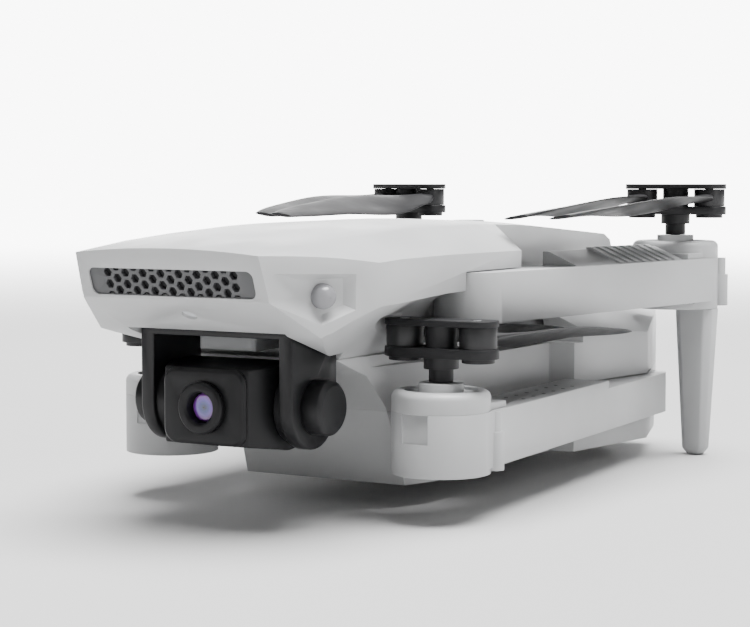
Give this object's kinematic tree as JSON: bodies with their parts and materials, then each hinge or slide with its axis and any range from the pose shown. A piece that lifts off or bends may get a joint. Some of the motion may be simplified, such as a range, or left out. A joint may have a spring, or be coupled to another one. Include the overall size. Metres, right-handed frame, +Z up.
{
  "type": "folding quadcopter drone",
  "caption": "Folded pocket quadcopter: smooth shell, arms hinged along its sides, folding propeller blades, front legs and a tilting nose camera in a yoke.",
  "frame": {"origin": "centre of the folded drone's footprint, level with the tips of the front legs", "axes": "+X the drone's own left, -Y the nose with its camera, +Y the rear with the battery, +Z up"},
  "size_m": [0.0824, 0.148, 0.0555],
  "materials": {
    "shell_grey": "satin",
    "arm_grey": "satin",
    "trim_black": "satin",
    "blade_black": "satin",
    "camera_black": "satin",
    "yoke_metal": "satin",
    "lens_coated": "coated",
    "sensor_gloss": "polished",
    "lamp_clear": "frosted",
    "steel": "satin",
    "brass": "satin",
    "can_metal": "satin",
    "board_green": "lacquered",
    "pack_grey": "satin",
    "foot_rubber": "matte"
  },
  "bodies": {
    "body": {"upper_shell": "shell_grey", "middle_frame": "shell_grey", "belly_shell": "shell_grey", "nose_grille": "trim_black", "sensor_domes": "sensor_gloss", "status_light": "lamp_clear", "main_board": "board_green", "gimbal_yoke": "yoke_metal", "gimbal_mount": "pack_grey", "yoke_caps": "yoke_metal", "belly_feet": "foot_rubber", "shell_screws": "steel", "front_hinge_pins": "steel"},
    "camera": {"camera_housing": "camera_black", "camera_faceplate": "camera_black", "lens_barrel": "camera_black", "lens_glass": "lens_coated"},
    "battery": {"battery_pack": "pack_grey"},
    "battery_latch": {"battery_latch": "trim_black"},
    "power_button": {"power_button": "pack_grey"},
    "front_left_arm": {"front_left_arm": "arm_grey", "front_left_pod_cap": "arm_grey", "front_left_motor": "can_metal", "front_left_leg": "arm_grey"},
    "front_left_prop": {"front_left_drive_gear": "trim_black", "front_left_prop_hub": "trim_black", "front_left_blade_screws": "steel"},
    "front_left_blade_outer": {"front_left_blade_outer": "blade_black"},
    "front_left_blade_inner": {"front_left_blade_inner": "blade_black"},
    "front_left_pinion": {"front_left_pinion": "brass"},
    "rear_left_arm": {"rear_left_arm": "arm_grey", "rear_left_pod_cap": "arm_grey", "rear_left_motor": "can_metal"},
    "rear_left_prop": {"rear_left_drive_gear": "trim_black", "rear_left_prop_hub": "trim_black", "rear_left_blade_screws": "steel"},
    "rear_left_blade_outer": {"rear_left_blade_outer": "blade_black"},
    "rear_left_blade_inner": {"rear_left_blade_inner": "blade_black"},
    "rear_left_pinion": {"rear_left_pinion": "brass"},
    "rear_left_pin": {"rear_left_hinge_pin": "steel"},
    "front_right_arm": {"front_right_arm": "arm_grey", "front_right_pod_cap": "arm_grey", "front_right_motor": "can_metal", "front_right_leg": "arm_grey"},
    "front_right_prop": {"front_right_drive_gear": "trim_black", "front_right_prop_hub": "trim_black", "front_right_blade_screws": "steel"},
    "front_right_blade_outer": {"front_right_blade_outer": "blade_black"},
    "front_right_blade_inner": {"front_right_blade_inner": "blade_black"},
    "front_right_pinion": {"front_right_pinion": "brass"},
    "rear_right_arm": {"rear_right_arm": "arm_grey", "rear_right_pod_cap": "arm_grey", "rear_right_motor": "can_metal"},
    "rear_right_prop": {"rear_right_drive_gear": "trim_black", "rear_right_prop_hub": "trim_black", "rear_right_blade_screws": "steel"},
    "rear_right_blade_outer": {"rear_right_blade_outer": "blade_black"},
    "rear_right_blade_inner": {"rear_right_blade_inner": "blade_black"},
    "rear_right_pinion": {"rear_right_pinion": "brass"},
    "rear_right_pin": {"rear_right_hinge_pin": "steel"}
  },
  "joints": [
    {"name": "camera_tilt", "type": "hinge", "parent": "body", "child": "camera", "pos_m": [0, -0.0536, 0.0201], "axis": [1, 0, 0], "range_deg": [0, 90]},
    {"name": "battery_slide", "type": "slide", "parent": "body", "child": "battery", "axis": [0, 1, 0], "range_m": [0, 0.08]},
    {"name": "battery_latch_press", "type": "slide", "parent": "battery", "child": "battery_latch", "axis": [0, 0, -1], "range_m": [0, 0.0007], "stiffness_N_per_m": 300, "springref_m": -0.0005},
    {"name": "power_button_press", "type": "slide", "parent": "body", "child": "power_button", "axis": [0, 0, -1], "range_m": [0, 0.0006], "stiffness_N_per_m": 300, "springref_m": -0.0005},
    {"name": "front_left_fold", "type": "hinge", "parent": "body", "child": "front_left_arm", "pos_m": [0.0236, -0.0168, 0.036], "axis": [0, 0, -1], "range_deg": [0, 90]},
    {"name": "rear_left_pin_turn", "type": "hinge", "parent": "body", "child": "rear_left_pin", "pos_m": [0.0255, 0.054, 0.0146], "axis": [0, 0, 1], "range_deg": [0, 50]},
    {"name": "rear_left_fold", "type": "hinge", "parent": "rear_left_pin", "child": "rear_left_arm", "pos_m": [0.0255, 0.054, 0.0146], "axis": [0, 0, 1], "range_deg": [0, 62]},
    {"name": "front_left_spin", "type": "hinge", "parent": "front_left_arm", "child": "front_left_prop", "pos_m": [0.0313, 0.06, 0.0437], "axis": [0, 0, 1], "range_deg": [0, 90]},
    {"name": "front_left_pinion_spin", "type": "hinge", "parent": "front_left_arm", "child": "front_left_pinion", "pos_m": [0.0341, 0.05386, 0.0387], "axis": [0, 0, 1], "range_deg": [-361, 1]},
    {"name": "front_left_blade_outer_swing", "type": "hinge", "parent": "front_left_prop", "child": "front_left_blade_outer", "pos_m": [0.03777, 0.0621, 0.0517], "axis": [0, 0, 1], "range_deg": [0, 114.5]},
    {"name": "front_left_blade_inner_swing", "type": "hinge", "parent": "front_left_prop", "child": "front_left_blade_inner", "pos_m": [0.02483, 0.0579, 0.0517], "axis": [0, 0, -1], "range_deg": [0, 72.5]},
    {"name": "rear_left_spin", "type": "hinge", "parent": "rear_left_arm", "child": "rear_left_prop", "pos_m": [0.0272, -0.0346, 0.0216], "axis": [0, 0, -1], "range_deg": [0, 90]},
    {"name": "rear_left_pinion_spin", "type": "hinge", "parent": "rear_left_arm", "child": "rear_left_pinion", "pos_m": [0.03049, -0.02871, 0.0166], "axis": [0, 0, -1], "range_deg": [-361, 1]},
    {"name": "rear_left_blade_outer_swing", "type": "hinge", "parent": "rear_left_prop", "child": "rear_left_blade_outer", "pos_m": [0.034, -0.0346, 0.0296], "axis": [0, 0, -1], "range_deg": [0, 90.5]},
    {"name": "rear_left_blade_inner_swing", "type": "hinge", "parent": "rear_left_prop", "child": "rear_left_blade_inner", "pos_m": [0.0204, -0.0346, 0.0296], "axis": [0, 0, 1], "range_deg": [0, 68]},
    {"name": "front_right_fold", "type": "hinge", "parent": "body", "child": "front_right_arm", "pos_m": [-0.0236, -0.0168, 0.036], "axis": [0, 0, 1], "range_deg": [0, 90]},
    {"name": "rear_right_pin_turn", "type": "hinge", "parent": "body", "child": "rear_right_pin", "pos_m": [-0.0255, 0.054, 0.0146], "axis": [0, 0, -1], "range_deg": [0, 50]},
    {"name": "rear_right_fold", "type": "hinge", "parent": "rear_right_pin", "child": "rear_right_arm", "pos_m": [-0.0255, 0.054, 0.0146], "axis": [0, 0, -1], "range_deg": [0, 62]},
    {"name": "front_right_spin", "type": "hinge", "parent": "front_right_arm", "child": "front_right_prop", "pos_m": [-0.0313, 0.06, 0.0437], "axis": [0, 0, -1], "range_deg": [0, 90]},
    {"name": "front_right_pinion_spin", "type": "hinge", "parent": "front_right_arm", "child": "front_right_pinion", "pos_m": [-0.0341, 0.05386, 0.0387], "axis": [0, 0, -1], "range_deg": [-361, 1]},
    {"name": "front_right_blade_outer_swing", "type": "hinge", "parent": "front_right_prop", "child": "front_right_blade_outer", "pos_m": [-0.03777, 0.0621, 0.0517], "axis": [0, 0, -1], "range_deg": [0, 114.5]},
    {"name": "front_right_blade_inner_swing", "type": "hinge", "parent": "front_right_prop", "child": "front_right_blade_inner", "pos_m": [-0.02483, 0.0579, 0.0517], "axis": [0, 0, 1], "range_deg": [0, 72.5]},
    {"name": "rear_right_spin", "type": "hinge", "parent": "rear_right_arm", "child": "rear_right_prop", "pos_m": [-0.0272, -0.0346, 0.0216], "axis": [0, 0, 1], "range_deg": [0, 90]},
    {"name": "rear_right_pinion_spin", "type": "hinge", "parent": "rear_right_arm", "child": "rear_right_pinion", "pos_m": [-0.03049, -0.02871, 0.0166], "axis": [0, 0, 1], "range_deg": [-361, 1]},
    {"name": "rear_right_blade_outer_swing", "type": "hinge", "parent": "rear_right_prop", "child": "rear_right_blade_outer", "pos_m": [-0.034, -0.0346, 0.0296], "axis": [0, 0, 1], "range_deg": [0, 90.5]},
    {"name": "rear_right_blade_inner_swing", "type": "hinge", "parent": "rear_right_prop", "child": "rear_right_blade_inner", "pos_m": [-0.0204, -0.0346, 0.0296], "axis": [0, 0, -1], "range_deg": [0, 68]}
  ],
  "couplings": [
    {"joint": "front_left_pinion_spin", "follows": "front_left_spin", "ratio": -4},
    {"joint": "front_left_blade_outer_swing", "follows": "front_left_spin", "ratio": 1.2667},
    {"joint": "front_left_blade_inner_swing", "follows": "front_left_spin", "ratio": 0.8},
    {"joint": "rear_left_pinion_spin", "follows": "rear_left_spin", "ratio": -4},
    {"joint": "rear_left_blade_outer_swing", "follows": "rear_left_spin", "ratio": 1},
    {"joint": "rear_left_blade_inner_swing", "follows": "rear_left_spin", "ratio": 0.75},
    {"joint": "front_right_pinion_spin", "follows": "front_right_spin", "ratio": -4},
    {"joint": "front_right_blade_outer_swing", "follows": "front_right_spin", "ratio": 1.2667},
    {"joint": "front_right_blade_inner_swing", "follows": "front_right_spin", "ratio": 0.8},
    {"joint": "rear_right_pinion_spin", "follows": "rear_right_spin", "ratio": -4},
    {"joint": "rear_right_blade_outer_swing", "follows": "rear_right_spin", "ratio": 1},
    {"joint": "rear_right_blade_inner_swing", "follows": "rear_right_spin", "ratio": 0.75}
  ]
}
